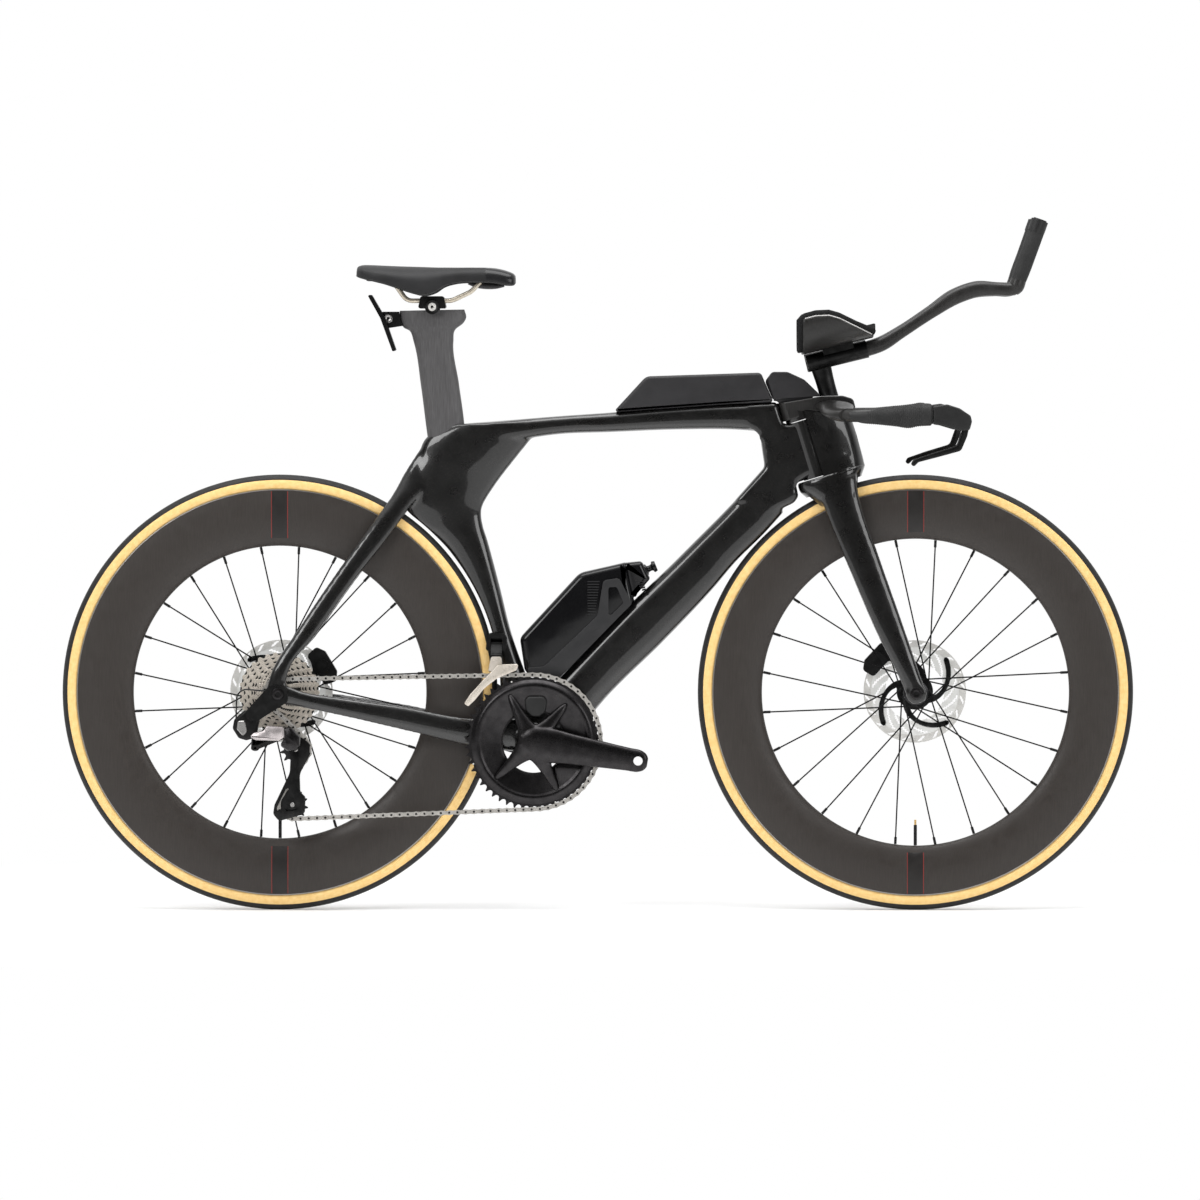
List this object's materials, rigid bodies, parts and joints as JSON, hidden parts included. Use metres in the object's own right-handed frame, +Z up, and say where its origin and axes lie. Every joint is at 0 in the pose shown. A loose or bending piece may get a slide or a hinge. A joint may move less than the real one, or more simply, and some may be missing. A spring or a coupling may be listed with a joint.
{
  "type": "time trial bicycle",
  "caption": "Time trial bicycle with deep-section wheels, disc brakes, forearm extensions, a storage box and a slim bottle",
  "frame": {"origin": "on the ground, midway between the two wheel axles, in the middle plane", "axes": "+X forwards, +Y to the rider's left, +Z up"},
  "size_m": [1.6678, 0.409, 1.0775],
  "materials": {
    "gloss_black": "gloss black paint with fine metallic flake over carbon",
    "satin_carbon": "satin dark grey carbon",
    "matte_grey": "matte dark grey moulding",
    "bottle_black": "gloss black moulding",
    "cage_grey": "dark grey moulding",
    "rim_carbon": "satin dark warm grey carbon",
    "tyre": "black tread with tan sidewalls",
    "spoke_black": "black anodised",
    "rotor_steel": "brushed stainless steel",
    "caliper_black": "satin black",
    "gunmetal": "dark polished anodised",
    "pale_silver": "pale warm silver",
    "pulley_black": "black moulding",
    "steel": "plain steel",
    "rail_gold": "titanium rail",
    "grip_rubber": "ribbed rubber",
    "saddle_black": "matte black cover",
    "pad_foam": "black foam pad"
  },
  "bodies": {
    "frame": {"frame": "gloss_black", "frame_bearings": "steel", "seatpost": "satin_carbon", "saddle_clamp": "gunmetal", "saddle_rails": "rail_gold", "saddle_shell": "satin_carbon", "saddle_cover": "saddle_black", "rear_bracket": "satin_carbon", "top_tube_box": "matte_grey", "bottle_cage": "cage_grey", "rear_axle": "steel", "derailleur_hanger": "gunmetal", "rear_caliper": "caliper_black", "frame_cables": "grip_rubber", "front_derailleur": "gunmetal", "chain": "pale_silver", "rd_bracket": "gunmetal"},
    "bottle": {"bottle": "bottle_black", "bottle_cap": "bottle_black"},
    "fd_link": {"fd_link": "pale_silver"},
    "fd_cage": {"fd_cage": "pale_silver"},
    "rd_outer_link": {"rd_outer_link": "pale_silver"},
    "rd_inner_link": {"rd_inner_link": "pale_silver"},
    "rd_knuckle": {"rd_knuckle": "gunmetal"},
    "rd_cage": {"rd_cage": "gunmetal"},
    "guide_pulley": {"guide_pulley": "pulley_black"},
    "tension_pulley": {"tension_pulley": "pulley_black"},
    "crank": {"crank_arm_right": "gunmetal", "crank_arm_left": "gunmetal", "chainring_large": "gunmetal", "chainring_small": "gunmetal"},
    "cassette": {"cassette": "pale_silver", "freehub_body": "pale_silver"},
    "rear_wheel": {"rear_rim": "rim_carbon", "rear_tyre": "tyre", "rear_hub": "spoke_black", "rear_spokes": "spoke_black", "rear_rotor": "rotor_steel", "rear_valve": "spoke_black"},
    "front_wheel": {"front_rim": "rim_carbon", "front_tyre": "tyre", "front_hub": "spoke_black", "front_spokes": "spoke_black", "front_rotor": "rotor_steel", "front_valve": "spoke_black"},
    "fork": {"fork": "gloss_black", "front_axle": "steel", "front_caliper": "caliper_black", "base_bar": "satin_carbon", "grips": "grip_rubber", "lever_bodies": "caliper_black", "mast": "satin_carbon", "stem_cover": "matte_grey", "extensions": "satin_carbon", "armrest_cups": "satin_carbon", "arm_pads": "pad_foam"},
    "brake_lever_right": {"brake_lever_right": "caliper_black"},
    "brake_lever_left": {"brake_lever_left": "caliper_black"},
    "shift_button_right": {"shift_button_right": "caliper_black"},
    "shift_button_left": {"shift_button_left": "caliper_black"}
  },
  "joints": [
    {"name": "steering", "type": "hinge", "parent": "frame", "child": "fork", "pos_m": [0.31548, 0, 0.762], "axis": [-0.2924, 0, 0.9563], "range_deg": [-40, 40]},
    {"name": "front_wheel_spin", "type": "hinge", "parent": "fork", "child": "front_wheel", "pos_m": [0.495, 0, 0.339], "axis": [0, 1, 0], "continuous": true},
    {"name": "rear_wheel_spin", "type": "hinge", "parent": "frame", "child": "rear_wheel", "pos_m": [-0.495, 0, 0.339], "axis": [0, 1, 0], "continuous": true},
    {"name": "crank_spin", "type": "hinge", "parent": "frame", "child": "crank", "pos_m": [-0.09923, 0, 0.263], "axis": [0, 1, 0], "continuous": true, "deforming": ["chain"]},
    {"name": "cassette_spin", "type": "hinge", "parent": "frame", "child": "cassette", "pos_m": [-0.495, 0, 0.339], "axis": [0, 1, 0], "continuous": true},
    {"name": "bottle_slide", "type": "slide", "parent": "frame", "child": "bottle", "axis": [0.6961, 0, 0.7179], "range_m": [0, 0.1]},
    {"name": "fd_swing", "type": "hinge", "parent": "frame", "child": "fd_link", "pos_m": [-0.15723, -0.029, 0.415], "axis": [1, 0, 0], "range_deg": [0, 22]},
    {"name": "fd_cage_hinge", "type": "hinge", "parent": "fd_link", "child": "fd_cage", "pos_m": [-0.15723, -0.04066, 0.39634], "axis": [1, 0, 0], "range_deg": [-22, 0]},
    {"name": "rd_shift", "type": "hinge", "parent": "frame", "child": "rd_outer_link", "pos_m": [-0.531, -0.073, 0.271], "axis": [0, 0.7071, 0.7071], "range_deg": [0, 55]},
    {"name": "rd_inner_hinge", "type": "hinge", "parent": "frame", "child": "rd_inner_link", "pos_m": [-0.531, -0.06169, 0.25969], "axis": [0, 0.7071, 0.7071], "range_deg": [0, 55]},
    {"name": "rd_knuckle_hinge", "type": "hinge", "parent": "rd_outer_link", "child": "rd_knuckle", "pos_m": [-0.48597, -0.09138, 0.28939], "axis": [0, 0.7071, 0.7071], "range_deg": [-55, 0]},
    {"name": "rd_cage_swing", "type": "hinge", "parent": "rd_knuckle", "child": "rd_cage", "pos_m": [-0.472, -0.072, 0.262], "axis": [0, 1, 0], "range_deg": [-35, 20], "stiffness_Nm_per_rad": 0.4},
    {"name": "guide_pulley_spin", "type": "hinge", "parent": "rd_cage", "child": "guide_pulley", "pos_m": [-0.468, -0.065, 0.252], "axis": [0, 1, 0], "continuous": true},
    {"name": "tension_pulley_spin", "type": "hinge", "parent": "rd_cage", "child": "tension_pulley", "pos_m": [-0.473, -0.065, 0.166], "axis": [0, 1, 0], "continuous": true},
    {"name": "brake_lever_right_pull", "type": "hinge", "parent": "fork", "child": "brake_lever_right", "pos_m": [0.56448, -0.19, 0.761], "axis": [0, 1, 0], "range_deg": [0, 18], "stiffness_Nm_per_rad": 0.3},
    {"name": "brake_lever_left_pull", "type": "hinge", "parent": "fork", "child": "brake_lever_left", "pos_m": [0.56448, 0.19, 0.761], "axis": [0, 1, 0], "range_deg": [0, 18], "stiffness_Nm_per_rad": 0.3},
    {"name": "shift_button_right_press", "type": "slide", "parent": "fork", "child": "shift_button_right", "axis": [-0.3328, 0, -0.943], "range_m": [0, 0.0015], "stiffness_N_per_m": 500},
    {"name": "shift_button_left_press", "type": "slide", "parent": "fork", "child": "shift_button_left", "axis": [-0.3328, 0, -0.943], "range_m": [0, 0.0015], "stiffness_N_per_m": 500}
  ],
  "couplings": [
    {"joint": "cassette_spin", "follows": "crank_spin", "ratio": 4.7273},
    {"joint": "guide_pulley_spin", "follows": "crank_spin", "ratio": -4.7273},
    {"joint": "tension_pulley_spin", "follows": "crank_spin", "ratio": 4.7273},
    {"joint": "fd_cage_hinge", "follows": "fd_swing", "ratio": -1},
    {"joint": "rd_inner_hinge", "follows": "rd_shift", "ratio": 1},
    {"joint": "rd_knuckle_hinge", "follows": "rd_shift", "ratio": -1}
  ]
}
